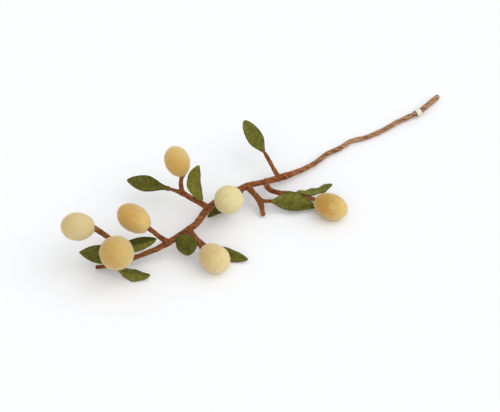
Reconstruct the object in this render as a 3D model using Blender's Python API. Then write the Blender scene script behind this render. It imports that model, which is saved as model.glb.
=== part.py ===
"""A lemon branch made of wool felt, lying down.

A branched steel wire runs inside a stem of brown wool. Felt lemons are pushed onto the ends of the
twigs, felt leaves sit on short stalks, and a loop of tape goes round the stem near its cut end.
+X runs along the branch to its cut end, +Z is up, and the origin is at the height that the branch
lies on, under its middle. Every size below is in millimetres, and the meshes are made in metres.
"""

import math
from collections import namedtuple

import bmesh
import bpy
from mathutils import Matrix, Vector
from mathutils.geometry import intersect_point_line

MM = 0.001
GAP = 0.3            # air between two pieces that touch

# Stem and twigs
STEM_SIDES = 12
TWIG_SIDES = 8
STEM_STEP = 10.0     # between two rings of the stem
TWIG_STEP = 7.0

# The rings that shape a wool end: how far each lies back from the end and how wide it is, as shares
# of the wool's radius there
OPEN_END = ((0.0, 1.0),)
ROUND_END = ((0.7, 1.0), (0.21, 0.72))
WORN_START = ((0.0, 0.8), (-0.35, 1.0))

# Wire
STEM_WIRE = 0.9      # radius of the thick wire in the stem
TWIG_WIRE = 0.6
WIRE_SIDES = 6
WIRE_ROOM = 0.35     # air round the wire
WIRE_BACK = 0.5      # how far the wire lies back in the cut end
WIRE_SHORT = 5.0     # how far it stops short of a closed wool end
WIRE_REACH = 11.0    # how far it reaches into a lemon

# Lemons
LEMON_SEAT = 2.5     # how deep a twig's wool sits in its lemon
LEMON_SIDES = 18
LEMON_RINGS = 11
LEMON_EGG = 0.05     # a lemon is this share fuller towards its blossom end
LEMON_NIPPLE = 0.9   # the soft point at the blossom end

# Leaves
LEAF_SEAT = 2.6      # how deep a stalk's end sits in the neck of its leaf
LEAF_RINGS = 12
RING_SPREAD = 0.9    # under 1, the rings lie closer together towards the tip
LEAF_ROW = 5         # points across one face of a leaf
LEAF_THICK = 2.6     # felt at the midrib
LEAF_EDGE = 0.5      # the edge's share of that thickness
LEAF_TAPER = 0.3     # how much thinner a leaf is at its tip, as a share
LEAF_BELLY = 0.8     # under 1, a leaf is widest nearer its neck
LEAF_FULLNESS = 0.85 # under 1, a leaf's outline is fuller than a sine
NECK_WIDTH = 5.8
NECK_THICK = 5.0
NECK_LENGTH = 0.22   # share of the leaf over which the neck flattens out
CREASE = 1.6         # half width of the rounded crease along the midrib
WAVES = 2.5          # waves along each edge
WAVE_SHIFT = 0.25    # how far the waves of one edge lie behind the other's, in waves

# Tape loop
TAPE_AT = 226.0      # x of its middle
TAPE_WIDTH = 8.0
TAPE_THICK = 0.7
TAPE_ROOM = 0.6      # air between the tape and the wool inside it
TAPE_TAIL = 3.6      # how far the two ends of the tape, stitched together, stand out
TAPE_POINTS = 20
TAPE_CREASE = 40.0   # an edge of the tape that turns more degrees than this is sharp

# Each point of a route is x, y, z and the radius of the wool there. The stem goes from its cut end,
# which lies down, up to the twigs and down again to its tip.
STEM = (
    (271, 20, 3.2, 3.4),
    (252, 15, 3.5, 3.4),
    (226, 9, 5.0, 3.3),
    (196, 9, 3.9, 3.4),
    (165, 8, 3.3, 3.3),
    (142, 10, 3.2, 3.2),
    (123, 15, 3.4, 3.3),
    (103, 13, 3.8, 3.5),
    (85, 14, 4.3, 3.7),
    (56, 9.5, 5.6, 4.1),
    (22, 8, 9.0, 4.6),
    (-3, 8, 12.0, 4.8),
    (-33, 13, 16.0, 4.6),
    (-56, 13, 18.0, 4.5),
    (-78, 11, 19.5, 4.6),
    (-104, 3, 22.0, 4.8),
    (-127, -9, 22.0, 4.9),
    (-152, -12, 20.0, 4.7),
    (-177, -12, 16.5, 4.4),
    (-206, -6, 11.5, 4.0),
    (-228, 1, 7.0, 3.5),
    (-249, 15, 2.7, 3.0),
)

# The twigs that carry a lemon. Each starts on the centre line of what it grows from.
LEMON_TWIGS = {
    "lemon_1": (
        (-219, -2, 9, 3.4), (-220, 6, 19, 3.1), (-222, 10, 30, 2.9), (-230, 14, 43, 2.8),
        (-240, 27, 53, 2.9),
    ),
    "lemon_2": ((-221, -2, 8, 3.4), (-224, -3, 15, 3.0), (-226, -5, 22, 2.8)),
    "lemon_3": ((-167, -12, 18, 3.4), (-174, -6, 26, 2.8), (-180, -2, 35, 2.6), (-185, 1, 42, 2.6)),
    "lemon_4": ((-138, -12, 21, 3.6), (-140, -27, 22, 3.2), (-140, -45, 19.5, 2.9)),
    "lemon_5": ((-115, 38, 28, 3.0), (-115, 42, 39, 2.5), (-113, 44, 47, 2.4), (-112, 44, 53, 2.5)),
    "lemon_6": ((-69, 12, 19, 3.6), (-72, 5, 20, 3.0), (-75, -1, 24, 2.8)),
    "lemon_7": (
        (-14, 9, 13, 3.4), (-18, 1, 13, 2.8), (-17, -8, 13, 2.6), (-12, -15, 13, 2.6),
        (-4, -22, 13, 2.5), (5, -34, 15, 2.5), (15, -53, 16, 2.7),
    ),
}

# A lemon reaches from its twig's end to its blossom end, here as x, y, z, and is this wide.
Lemon = namedtuple("Lemon", "blossom width felt")
LEMONS = {
    "lemon_1": Lemon((-271, 46, 58), 32.5, "pale"),
    "lemon_2": Lemon((-241, -20, 58), 38.5, "amber"),
    "lemon_3": Lemon((-201, 37, 53), 31.5, "amber"),
    "lemon_4": Lemon((-129.5, -81, 13.5), 34.0, "pale"),
    "lemon_5": Lemon((-112, 62, 83), 29.0, "amber"),
    "lemon_6": Lemon((-89, -21, 52), 35.5, "pale"),
    "lemon_7": Lemon((32.5, -90.5, 13.5), 30.6, "amber"),
}

# Twigs that carry a leaf far from the stem, and the bare spur. They have wire in them too.
LONG_TWIGS = {
    "leaf_7": (
        (-101, 4, 22, 3.8), (-105, 16, 24, 3.3), (-110, 26, 26, 3.2), (-114, 35, 28, 3.2),
        (-120, 43, 30, 2.4), (-124, 48, 31, 2.0), (-128, 52, 32, 1.4),
    ),
    "leaf_9": ((-39, -10, 12, 2.2), (-35, -17, 13, 1.8), (-29, -22, 13.5, 1.4)),
    "leaf_11": ((4, 9, 11, 3.0), (5, 23, 18, 2.3), (6, 35, 24, 2.1), (6, 46, 29, 1.4)),
}
SPUR = (
    (-39, 13, 17, 3.6), (-39, 1, 15.5, 3.2), (-39, -11, 12.5, 3.1), (-41, -19, 8, 2.9), (-45, -28, 3, 2.6),
)

# Short stalks, of wool alone.
STALKS = {
    "leaf_1": ((-220, 3, 14, 2.2), (-224, 5, 16, 1.8), (-229, 8, 17, 1.4)),
    "leaf_2": ((-235, 4, 6, 2.2), (-232, -4, 6, 1.8), (-228, -9, 6, 1.4)),
    "leaf_3": ((-220, 6, 19, 2.2), (-218, 8, 20, 1.8), (-213, 8, 21, 1.4)),
    "leaf_4": ((-140, -24, 22, 2.4), (-141, -26, 27, 1.8), (-145, -26, 28, 1.4)),
    "leaf_5": ((-139, -23, 21, 2.2), (-132, -30, 12, 1.8), (-128, -41, 6.0, 1.4)),
    "leaf_6": ((-45, 12, 17.5, 2.2), (-49, 13, 10, 1.8), (-54, 13, 8, 1.4)),
    "leaf_8": ((-105, 15, 24, 2.2), (-105, 14, 29, 1.8), (-104, 15, 33, 1.4)),
    "leaf_10": ((-4, -23, 13, 2.0), (-3, -29, 20, 1.7), (2, -33, 24, 1.4)),
}

# What a twig or stalk grows from, where that isn't the stem. Each is named for what it carries.
GROWS_FROM = {
    "lemon_5": "leaf_7",
    "leaf_3": "lemon_1",
    "leaf_1": "lemon_1",
    "leaf_4": "lemon_4",
    "leaf_5": "lemon_4",
    "leaf_8": "leaf_7",
    "leaf_9": "spur",
    "leaf_10": "lemon_7",
}

# A leaf goes from its stalk's end to its tip, and its upper face looks along "face". The midrib
# arches by "bow" and bends sideways by "sway", and the two halves fold up by "fold" degrees.
Leaf = namedtuple("Leaf", "tip face width bow sway fold wave")
LEAVES = {
    "leaf_1": Leaf((-261, 28, 24), (-0.5, -0.5, 0.7), 21.0, 2.0, 0.0, 6.0, 0.6),
    "leaf_2": Leaf((-206, -34, 6), (-0.74, -0.66, 0.17), 20.0, 2.0, 2.0, 35.0, 0.7),
    "leaf_3": Leaf((-177, -3, 22), (-0.4, -0.7, 0.6), 15.5, 0.0, 0.0, 30.0, 0.8),
    "leaf_4": Leaf((-161, -28, 4), (-0.8, -0.4, 0.4), 20.0, 7.0, 0.0, 4.0, 0.6),
    "leaf_5": Leaf((-100, -76, 4), (-0.35, -0.3, 0.9), 15.5, -0.5, -0.8, 4.0, 0.5),
    "leaf_6": Leaf((-102, 5, 7), (0.0, 0.0, 1.0), 17.0, 0.0, 0.0, 4.0, 0.4),
    "leaf_7": Leaf((-160, 90, 33), (-0.4, -0.3, 0.8), 19.5, 3.0, 0.0, 8.0, 0.6),
    "leaf_8": Leaf((-90, 41, 57), (-0.76, -0.22, 0.62), 18.0, 4.0, 4.0, 14.0, 0.6),
    "leaf_9": Leaf((15, -55, 5), (-0.4, -0.6, 0.7), 19.0, 2.0, 3.5, 6.0, 0.8),
    "leaf_10": Leaf((43, -46.5, 22), (0.05, 0.25, 0.97), 16.5, -4.5, -1.0, 8.0, 0.5),
    "leaf_11": Leaf((7, 86, 46), (-0.4, -0.5, 0.7), 19.5, 3.0, 0.0, 8.0, 0.6),
}

COLOURS = {           # base colour, roughness and metallic value
    "felt_brown": ((0.27, 0.11, 0.045), 0.95, 0.0),
    "felt_green": ((0.10, 0.115, 0.025), 0.95, 0.0),
    "felt_pale": ((0.76, 0.64, 0.36), 0.95, 0.0),
    "felt_amber": ((0.66, 0.42, 0.13), 0.95, 0.0),
    "steel_wire": ((0.55, 0.55, 0.54), 0.40, 1.0),
    "cotton_tape": ((0.85, 0.82, 0.76), 0.90, 0.0),
}


def clear_scene():
    for item in list(bpy.data.objects):
        bpy.data.objects.remove(item)


def material(name):
    """The named finish, made once."""
    found = bpy.data.materials.get(name)
    if found:
        return found
    colour, roughness, metallic = COLOURS[name]
    made = bpy.data.materials.new(name)
    made.use_nodes = True
    shader = made.node_tree.nodes["Principled BSDF"]
    shader.inputs["Base Color"].default_value = (*colour, 1.0)
    shader.inputs["Roughness"].default_value = roughness
    shader.inputs["Metallic"].default_value = metallic
    return made


# Routes


def tangents(points):
    """The direction of travel at each point of a route, as change per millimetre."""
    gaps = [(b - a).xyz.length for a, b in zip(points, points[1:])]
    slopes = [(b - a) / gap for a, b, gap in zip(points, points[1:], gaps)]
    middle = [
        (slopes[i] * gaps[i + 1] + slopes[i + 1] * gaps[i]) / (gaps[i] + gaps[i + 1])
        for i in range(len(slopes) - 1)
    ]
    return [slopes[0], *middle, slopes[-1]]


def smooth(route, step):
    """Points about "step" apart on a smooth curve through the route's own points."""
    points = [Vector(p) for p in route]
    ways = tangents(points)
    curve = [points[0]]
    for i in range(len(points) - 1):
        a, b = points[i], points[i + 1]
        gap = (b - a).xyz.length
        pieces = max(1, round(gap / step))
        for k in range(1, pieces + 1):
            u = k / pieces
            ease = u * u * (3 - 2 * u)
            leaving = gap * u * (1 - u) ** 2
            arriving = gap * u * u * (u - 1)
            curve.append(a.lerp(b, ease) + ways[i] * leaving + ways[i + 1] * arriving)
    return curve


def rooted(route, parent):
    """The route with its first point moved to the nearest spot on the centre line that it grows from."""
    start = Vector(route[0][:3])
    spots = []
    for a, b in zip(parent, parent[1:]):
        share = intersect_point_line(start, a.xyz, b.xyz)[1]
        spots.append(a.xyz.lerp(b.xyz, min(1.0, max(0.0, share))))
    nearest = min(spots, key=lambda spot: (spot - start).length)
    return ((*nearest, route[0][3]), *route[1:])


def coarse(curve):
    """Every other point of the curve, with both of its ends and the point before the last."""
    return [*curve[:-2:2], *curve[-2:]]


def stretched(curve, start=0.0, end=0.0, radius=None, grow=0.0):
    """The curve with its ends moved outwards by these lengths, and its radius set or grown."""
    out = [p.copy() for p in curve]
    out[0].xyz += (curve[0] - curve[1]).xyz.normalized() * start
    out[-1].xyz += (curve[-1] - curve[-2]).xyz.normalized() * end
    for p in out:
        p.w = (p.w if radius is None else radius) + grow
    return out


# Meshes


def skin(rings, caps, mirrored_from=None):
    """A closed mesh over a row of rings, each end drawn together at its cap.

    Every four-sided face is split into two triangles. From point "mirrored_from" of a ring on, the
    split runs the other way, so that the two faces of a leaf are split alike."""
    mesh = bmesh.new()
    rows = [[mesh.verts.new(p * MM) for p in ring] for ring in rings]
    count = len(rings[0])
    for low, high in zip(rows, rows[1:]):
        for k in range(count):
            a, b = low[k], low[(k + 1) % count]
            d, c = high[k], high[(k + 1) % count]
            if mirrored_from is None or k < mirrored_from:
                mesh.faces.new((a, b, c))
                mesh.faces.new((a, c, d))
            else:
                mesh.faces.new((a, b, d))
                mesh.faces.new((b, c, d))
    for row, cap in zip((rows[0], rows[-1]), caps):
        end = mesh.verts.new(cap * MM)
        for k in range(count):
            mesh.faces.new((row[k], row[(k + 1) % count], end))
    bmesh.ops.recalc_face_normals(mesh, faces=mesh.faces)
    return mesh


def finished(name, mesh, finish, matrix=Matrix()):
    """A named object from a bmesh, with its material and its place."""
    data = bpy.data.meshes.new(name)
    mesh.to_mesh(data)
    mesh.free()
    data.shade_smooth()
    item = bpy.data.objects.new(name, data)
    item.matrix_world = matrix
    bpy.context.scene.collection.objects.link(item)
    if finish:
        data.materials.append(material(finish))
    return item


def tube(name, curve, sides, finish=None, start=OPEN_END, end=OPEN_END):
    """A round tube along a curve whose points hold x, y, z and the radius, with its two ends shaped."""
    heading = (curve[1] - curve[0]).xyz.normalized()
    across = heading.orthogonal().normalized()
    rings = []
    for i, point in enumerate(curve):
        before, after = curve[max(i - 1, 0)].xyz, curve[min(i + 1, len(curve) - 1)].xyz
        turned = (after - before).normalized()
        across = heading.rotation_difference(turned) @ across
        heading = turned
        beside = heading.cross(across)
        shape = OPEN_END
        if i == 0:
            shape = start
        if i == len(curve) - 1:
            shape = end
        for back, wide in shape:
            centre = point.xyz - heading * point.w * back
            radius = point.w * wide
            turns = [2 * math.pi * k / sides for k in range(sides)]
            rings.append([centre + (across * math.cos(t) + beside * math.sin(t)) * radius for t in turns])
    return finished(name, skin(rings, (curve[0].xyz, curve[-1].xyz)), finish)


def combine(target, operation, others):
    """Joins the other objects to the target or cuts them from it, for good, and removes them."""
    group = bpy.data.collections.new("operands")
    bpy.context.scene.collection.children.link(group)
    for other in others:
        group.objects.link(other)
    modifier = target.modifiers.new(operation.title(), "BOOLEAN")
    modifier.operation = operation
    modifier.operand_type = "COLLECTION"
    modifier.collection = group
    graph = bpy.context.evaluated_depsgraph_get()
    result = bpy.data.meshes.new_from_object(target.evaluated_get(graph))
    target.modifiers.clear()
    target.data = result
    result.name = target.name
    for other in list(others):
        bpy.data.objects.remove(other)
    bpy.data.collections.remove(group)
    return target


# Pieces


def wool_stem(curves):
    """The stem with all its twigs and stalks, in one piece, bored out for the wire."""
    stem = tube("stem", curves["stem"], STEM_SIDES, "felt_brown", WORN_START, ROUND_END)
    twigs = [
        tube("twig", curve, TWIG_SIDES, end=ROUND_END if name == "spur" else OPEN_END)
        for name, curve in curves.items()
        if name != "stem"
    ]
    combine(stem, "UNION", twigs)
    combine(stem, "DIFFERENCE", wire_tubes(curves, WIRE_ROOM))
    return stem


def wire_tubes(curves, room):
    """The wires in the stem and the long twigs, each with that much room round it and past its end."""
    back = room + WIRE_BACK if room else -WIRE_BACK
    thick = stretched(coarse(curves["stem"]), back, room - WIRE_SHORT, STEM_WIRE, room)
    tubes = [tube("wire", thick, WIRE_SIDES)]
    for name in [*LEMONS, *LONG_TWIGS, "spur"]:
        reach = WIRE_REACH if name in LEMONS else -WIRE_SHORT
        curve = stretched(coarse(curves[name]), room, reach + room, TWIG_WIRE, room)
        tubes.append(tube("wire", curve, WIRE_SIDES))
    return tubes


def wire_core(curves):
    """The branched wire: thin wires twisted onto a thick one, drawn as one body."""
    thick, *thin = wire_tubes(curves, 0.0)
    thick.name = "wire_core"
    combine(thick, "UNION", thin)
    thick.data.materials.clear()
    thick.data.materials.append(material("steel_wire"))
    return thick


def socket(curve, wired):
    """The cutters that make room for a twig's end, and for the wire in it, in what sits on it."""
    end = curve[-3:]
    cutters = [tube("socket", stretched(end, 0, GAP, grow=GAP), TWIG_SIDES)]
    if wired:
        reach = WIRE_REACH + WIRE_ROOM
        cutters.append(tube("wire_hole", stretched(end, 0, reach, TWIG_WIRE, WIRE_ROOM), WIRE_SIDES))
    return cutters


def lemon_rings(half, radius):
    """Rings along +Z from the stem end, at 0, to the blossom end, at twice "half"."""
    rings = []
    for i in range(1, LEMON_RINGS):
        turn = math.pi * i / LEMON_RINGS
        along = -math.cos(turn)
        wide = radius * math.sin(turn) * (1 + LEMON_EGG * along)
        sides = [2 * math.pi * k / LEMON_SIDES for k in range(LEMON_SIDES)]
        rings.append([Vector((wide * math.cos(s), wide * math.sin(s), half * (1 + along))) for s in sides])
    return rings


def rest_flat(item):
    """Slices off what would reach below z = 0, which leaves a small flat spot to rest on."""
    mesh = bmesh.new()
    mesh.from_mesh(item.data)
    to_local = item.matrix_world.inverted()
    down = to_local.to_3x3() @ Vector((0, 0, -1))
    whole = mesh.verts[:] + mesh.edges[:] + mesh.faces[:]
    cut = bmesh.ops.bisect_plane(
        mesh, geom=whole, plane_co=to_local.translation, plane_no=down, clear_outer=True
    )
    edges = [e for e in cut["geom_cut"] if isinstance(e, bmesh.types.BMEdge)]
    bmesh.ops.edgeloop_fill(mesh, edges=edges)
    bmesh.ops.recalc_face_normals(mesh, faces=mesh.faces)
    mesh.to_mesh(item.data)
    mesh.free()
    return item


def lemon(name, curve):
    """A felt lemon, pushed onto the end of its twig."""
    blossom, width, felt = LEMONS[name]
    axis = (Vector(blossom) - curve[-1].xyz).normalized()
    seat = curve[-1].xyz - axis * LEMON_SEAT
    half = (Vector(blossom) - seat).length / 2
    rings = lemon_rings(half - LEMON_NIPPLE / 2, width / 2)
    mesh = skin(rings, (Vector((0, 0, 0)), Vector((0, 0, 2 * half))))
    place = Matrix.Translation(seat * MM) @ axis.to_track_quat("Z", "Y").to_matrix().to_4x4()
    item = finished(name, mesh, "felt_" + felt, place)
    bpy.context.view_layer.update()
    combine(item, "DIFFERENCE", socket(curve, wired=True))
    return rest_flat(item)


def leaf_section(s, length, leaf):
    """One ring across a leaf at share s of its length: its upper face, then its lower one."""
    blade = leaf.width / 2 * math.sin(math.pi * s ** LEAF_BELLY) ** LEAF_FULLNESS
    fade = max(0.0, 1 - s / NECK_LENGTH) ** 2
    half_width = math.hypot(blade, NECK_WIDTH / 2 * (1 - s))
    thick = (LEAF_THICK + (NECK_THICK - LEAF_THICK) * fade) / 2 * (1 - LEAF_TAPER * s)
    rise = math.tan(math.radians(leaf.fold)) * (1 - fade)
    shares = [2 * k / (LEAF_ROW - 1) - 1 for k in range(LEAF_ROW)]
    upper, lower = [], []
    for t in shares:
        y = half_width * t
        wave = leaf.wave * t * t * math.sin(2 * math.pi * (WAVES * s + WAVE_SHIFT * (t > 0))) * (1 - fade)
        lift = leaf.bow * 4 * s * (1 - s) + rise * (math.hypot(y, CREASE) - CREASE) + wave
        half_thick = thick * math.sqrt(1 - (1 - LEAF_EDGE ** 2) * t * t)
        beside = y + leaf.sway * 4 * s * (1 - s)
        upper.append(Vector((length * s, beside, lift + half_thick)))
        lower.append(Vector((length * s, beside, lift - half_thick)))
    return upper + lower[::-1]


def leaf_place(neck, tip, face):
    """The matrix that puts a leaf's neck in place, its +X to the tip and its +Z as near "face" as it goes."""
    along = (tip - neck).normalized()
    up = (face - along * face.dot(along)).normalized()
    turn = Matrix((along, up.cross(along), up)).transposed()
    return Matrix.Translation(neck * MM) @ turn.to_4x4()


def leaf(name, curve):
    """A felt leaf, sewn onto the end of its stalk."""
    facts = LEAVES[name]
    neck = curve[-1].xyz - (curve[-1] - curve[-2]).xyz.normalized() * LEAF_SEAT
    length = (Vector(facts.tip) - neck).length
    stations = [(i / LEAF_RINGS) ** RING_SPREAD for i in range(LEAF_RINGS)]
    rings = [leaf_section(s, length, facts) for s in stations]
    mesh = skin(rings, (Vector((0, 0, 0)), Vector((length, 0, 0))), mirrored_from=LEAF_ROW)
    item = finished(name, mesh, "felt_green", leaf_place(neck, Vector(facts.tip), Vector(facts.face)))
    bpy.context.view_layer.update()
    return combine(item, "DIFFERENCE", socket(curve, wired=False))


def tape_loop(curve):
    """A strip of tape folded round the stem, its two ends stitched together in a short tail."""
    at = min(range(len(curve)), key=lambda i: abs(curve[i].x - TAPE_AT))
    middle = curve[at]
    along = (curve[at + 1] - curve[at - 1]).xyz.normalized()
    beside = along.cross(Vector((0, 0, 1))).normalized()
    up = beside.cross(along)
    inner = middle.w + TAPE_ROOM
    outer = inner + TAPE_THICK
    half_tail = math.asin(TAPE_THICK / outer)
    turns = [-half_tail, half_tail] + [
        half_tail + (2 * math.pi - 2 * half_tail) * k / (TAPE_POINTS - 1) for k in range(1, TAPE_POINTS - 1)
    ]
    reach = [outer + TAPE_TAIL, outer + TAPE_TAIL] + [outer] * (TAPE_POINTS - 2)
    mesh = bmesh.new()
    loops = []
    for end, radii in ((-1, [inner] * TAPE_POINTS), (-1, reach), (1, reach), (1, [inner] * TAPE_POINTS)):
        start = middle.xyz + along * end * TAPE_WIDTH / 2
        row = []
        for turn, radius in zip(turns, radii):
            sideways = radius * math.cos(turn)
            upwards = min(radius, outer) * math.sin(turn)
            row.append(mesh.verts.new((start + beside * sideways + up * upwards) * MM))
        loops.append(row)
    for row, after in zip(loops, loops[1:] + loops[:1]):
        for k in range(TAPE_POINTS):
            mesh.faces.new((row[k], row[(k + 1) % TAPE_POINTS], after[(k + 1) % TAPE_POINTS], after[k]))
    bmesh.ops.recalc_face_normals(mesh, faces=mesh.faces)
    item = finished("tape_loop", mesh, "cotton_tape")
    item.data.set_sharp_from_angle(angle=math.radians(TAPE_CREASE))
    return item


def build():
    clear_scene()
    curves = {"stem": smooth(STEM, STEM_STEP)}
    for name, route in {"spur": SPUR, **LONG_TWIGS, **LEMON_TWIGS, **STALKS}.items():
        parent = curves[GROWS_FROM.get(name, "stem")]
        curves[name] = smooth(rooted(route, parent), TWIG_STEP)
    pieces = [rest_flat(wool_stem(curves)), wire_core(curves), tape_loop(curves["stem"])]
    pieces += [lemon(name, curves[name]) for name in LEMONS]
    pieces += [rest_flat(leaf(name, curves[name])) for name in LEAVES]
    branch = bpy.data.objects.new("lemon_branch", None)
    bpy.context.scene.collection.objects.link(branch)
    for piece in pieces:
        piece.parent = branch


build()
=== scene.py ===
"""A lemon branch made of needle-felted wool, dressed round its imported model.

Every piece is made anew here with its real surface: spun wool round the stem, matted wool on the lemons
and leaves, loose fibres standing on all of these, woven tape and drawn wire. Each lies close to where
its model does. Points and sizes below are in millimetres, and the meshes are made in metres.
"""

import math
from collections import namedtuple

import bmesh
import bpy
import numpy as np
from mathutils import Matrix, Vector, noise
from mathutils.geometry import intersect_point_line


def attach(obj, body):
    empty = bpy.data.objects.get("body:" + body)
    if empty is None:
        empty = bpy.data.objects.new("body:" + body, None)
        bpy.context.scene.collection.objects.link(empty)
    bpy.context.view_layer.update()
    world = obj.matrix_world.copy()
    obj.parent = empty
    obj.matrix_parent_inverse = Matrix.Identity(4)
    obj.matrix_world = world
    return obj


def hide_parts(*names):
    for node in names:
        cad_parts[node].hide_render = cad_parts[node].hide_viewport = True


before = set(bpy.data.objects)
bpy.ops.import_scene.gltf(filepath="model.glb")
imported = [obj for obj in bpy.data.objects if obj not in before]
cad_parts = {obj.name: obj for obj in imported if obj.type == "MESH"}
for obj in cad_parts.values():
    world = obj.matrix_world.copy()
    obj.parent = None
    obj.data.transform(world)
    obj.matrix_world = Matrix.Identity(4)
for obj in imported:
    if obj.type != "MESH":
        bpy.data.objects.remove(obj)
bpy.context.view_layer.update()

MM = 0.001

# Routes of the stem, twigs and stalks, close to the model's: x, y, z and the radius of the wool
STEM = (
    (271, 20, 3.2, 3.2), (252, 15, 3.5, 3.3), (226, 9, 5.0, 3.2), (196, 10.4, 3.9, 3.0),
    (165, 9.4, 3.3, 2.9), (142, 11.3, 3.2, 2.9), (123, 16.2, 3.4, 2.9), (103, 13.7, 3.8, 2.9),
    (85, 14, 4.3, 3.0), (56, 7.8, 5.6, 3.0), (22, 6.2, 9.0, 3.7), (10, 6.8, 10.5, 4.2),
    (-3, 8, 12.0, 4.0), (-19, 10.4, 14.1, 3.2), (-33, 13, 16.0, 3.6), (-56, 13, 18.0, 4.1),
    (-78, 11, 19.5, 4.2), (-104, 3, 22.0, 4.3), (-127, -9, 22.0, 3.9), (-152, -12, 20.0, 3.8),
    (-177, -12, 16.5, 3.4), (-206, -5, 11.5, 2.7), (-228, 2, 7.0, 2.5), (-249, 15, 2.7, 2.2),
)
SPUR = (
    (-39, 13, 17, 3.8), (-39, 1, 15.5, 3.6), (-38.5, -11, 12.5, 3.6), (-40.5, -19, 8, 3.2),
    (-44.5, -28, 3, 2.5),
)
TWIGS = {
    "leaf_7": (
        (-101, 4, 22, 3.8), (-105, 16, 24, 3.3), (-110, 26, 26, 3.2), (-114, 35, 28, 3.2),
        (-120, 43, 30, 2.4), (-124, 48, 31, 2.0), (-128, 52, 32, 1.4),
    ),
    "leaf_9": ((-39, -10, 12, 2.6), (-34, -17, 13, 2.3), (-28, -22, 13.5, 2.1), (-25, -24.3, 13, 1.5)),
    "leaf_11": ((4, 9, 11, 3.0), (5, 23, 18, 2.5), (6, 35, 24, 2.5), (6, 46, 29, 1.25)),
    "lemon_1": (
        (-219, -2, 9, 3.4), (-220, 6, 19, 3.1), (-222, 10, 30, 3.0), (-230, 14, 43, 3.0),
        (-240, 27, 53, 3.4),
    ),
    "lemon_2": ((-221, -2, 8, 2.8), (-223.6, -3, 15.3, 2.7), (-225.6, -4.4, 22.7, 2.7)),
    "lemon_3": ((-167, -12, 18, 3.4), (-174, -6, 26, 3.0), (-180, -2, 35, 2.8), (-185, 1, 42, 2.8)),
    "lemon_4": ((-138, -12, 21, 3.6), (-140, -27, 22, 3.2), (-141, -45, 19, 2.9)),
    "lemon_5": ((-114.5, 38, 28, 3.0), (-114, 42, 39, 2.7), (-112.2, 43, 47, 2.7), (-111.2, 42, 53.5, 3.8)),
    "lemon_6": ((-69, 12, 19, 3.6), (-72, 5, 20, 3.0), (-75, -1, 24, 2.8)),
    "lemon_7": (
        (-14, 9, 13, 3.6), (-18, 1, 13, 3.4), (-17, -8, 13, 3.2), (-12, -15, 13, 3.0),
        (-4, -22, 13, 2.9), (5, -34, 15, 2.7), (15, -53, 16, 2.7),
    ),
    "leaf_1": ((-220, 3, 14, 2.2), (-224, 5, 16, 1.8), (-229, 8, 17, 1.2)),
    "leaf_2": ((-235, 4, 6, 2.2), (-232, -4, 6, 1.8), (-228, -9, 6, 1.1)),
    "leaf_3": ((-220, 6, 19, 2.2), (-218, 8, 20, 1.8), (-213, 8, 21, 1.4)),
    "leaf_4": ((-140, -24, 22, 2.4), (-141.5, -26, 25, 1.8), (-146, -26.5, 25.5, 1.3)),
    "leaf_5": ((-139, -23, 21, 2.2), (-132, -30, 12, 1.8), (-128, -41, 6.0, 1.4)),
    "leaf_6": ((-45, 12, 17.5, 2.2), (-49, 13, 10, 1.8), (-54, 13, 8, 1.1)),
    "leaf_8": ((-105, 15, 24, 2.2), (-105, 14, 29, 1.8), (-104, 15, 33, 1.4)),
    "leaf_10": ((-4, -23, 13, 2.0), (-2, -29, 16, 1.6), (1, -33, 20.0, 1.4), (6.5, -34.8, 19.3, 1.0)),
}

# What a twig or stalk grows from, where that isn't the stem
GROWS_FROM = {
    "lemon_5": "leaf_7", "leaf_3": "lemon_1", "leaf_1": "lemon_1", "leaf_4": "lemon_4",
    "leaf_5": "lemon_4", "leaf_8": "leaf_7", "leaf_9": "spur", "leaf_10": "lemon_7",
}

# Each lemon: its blossom end, its width, its dye, its two wools as screen colours, the way in which the
# first wool gives way to the second (partly the two wools, partly painted light and shade), and the second's
# share in the middle
Lemon = namedtuple("Lemon", "blossom width dye deep pale toward share")
LEMONS = {
    "lemon_1": Lemon(
        (-271, 46, 58), 32.5, "pale", (211, 182, 128), (215, 196, 141), (0.6, -0.7, 0.2), 0.5,
    ),
    "lemon_2": Lemon(
        (-241.5, -18.5, 59), 39.0, "amber", (197, 155, 82), (211, 180, 110), (0.8, -0.6, 0.1), 0.4,
    ),
    "lemon_3": Lemon(
        (-201, 37, 53), 31.5, "amber", (203, 161, 85), (216, 186, 117), (0.7, -0.6, -0.4), 0.4,
    ),
    "lemon_4": Lemon(
        (-131, -80, 12.9), 32.6, "pale", (209, 182, 124), (231, 209, 154), (0.7, -0.7, -0.3), 0.4,
    ),
    "lemon_5": Lemon(
        (-112.5, 62, 83), 30.0, "amber", (206, 163, 88), (221, 195, 131), (0.4, 0.3, 0.2), 0.35,
    ),
    "lemon_6": Lemon(
        (-89, -21, 51.6), 34.6, "pale", (215, 193, 136), (230, 214, 159), (0.4, -0.5, 0.2), 0.5,
    ),
    "lemon_7": Lemon(
        (32.5, -89.8, 13.7), 31.2, "amber", (192, 146, 66), (225, 195, 122), (0.6, -0.75, -0.15), 0.25,
    ),
}
LEMON_SEAT = 2.5     # how deep a twig's wool sits in its lemon
LEMON_EGG = 0.05     # a lemon is this share fuller towards its blossom end
LEMON_SPLITS = 6     # subdivisions of the ball that a lemon is shaped from
LEMON_FUZZ = 0.4     # depth that the loose fibres take up of a lemon's size
NIPPLE = 0.3         # height of the soft point at the blossom end
NIPPLE_SPREAD = 2.6
DENT = 1.3           # depth of the pucker round the twig
DENT_SPREAD = 4.2
LEMON_LUMPS = ((0.32, 11.0), (0.12, 4.5), (0.05, 1.7))     # the height and the size of each kind
PALE_FADE = 1.5          # how much the share of its second wool grows over its width, a fade that is partly painted light and shade
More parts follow.
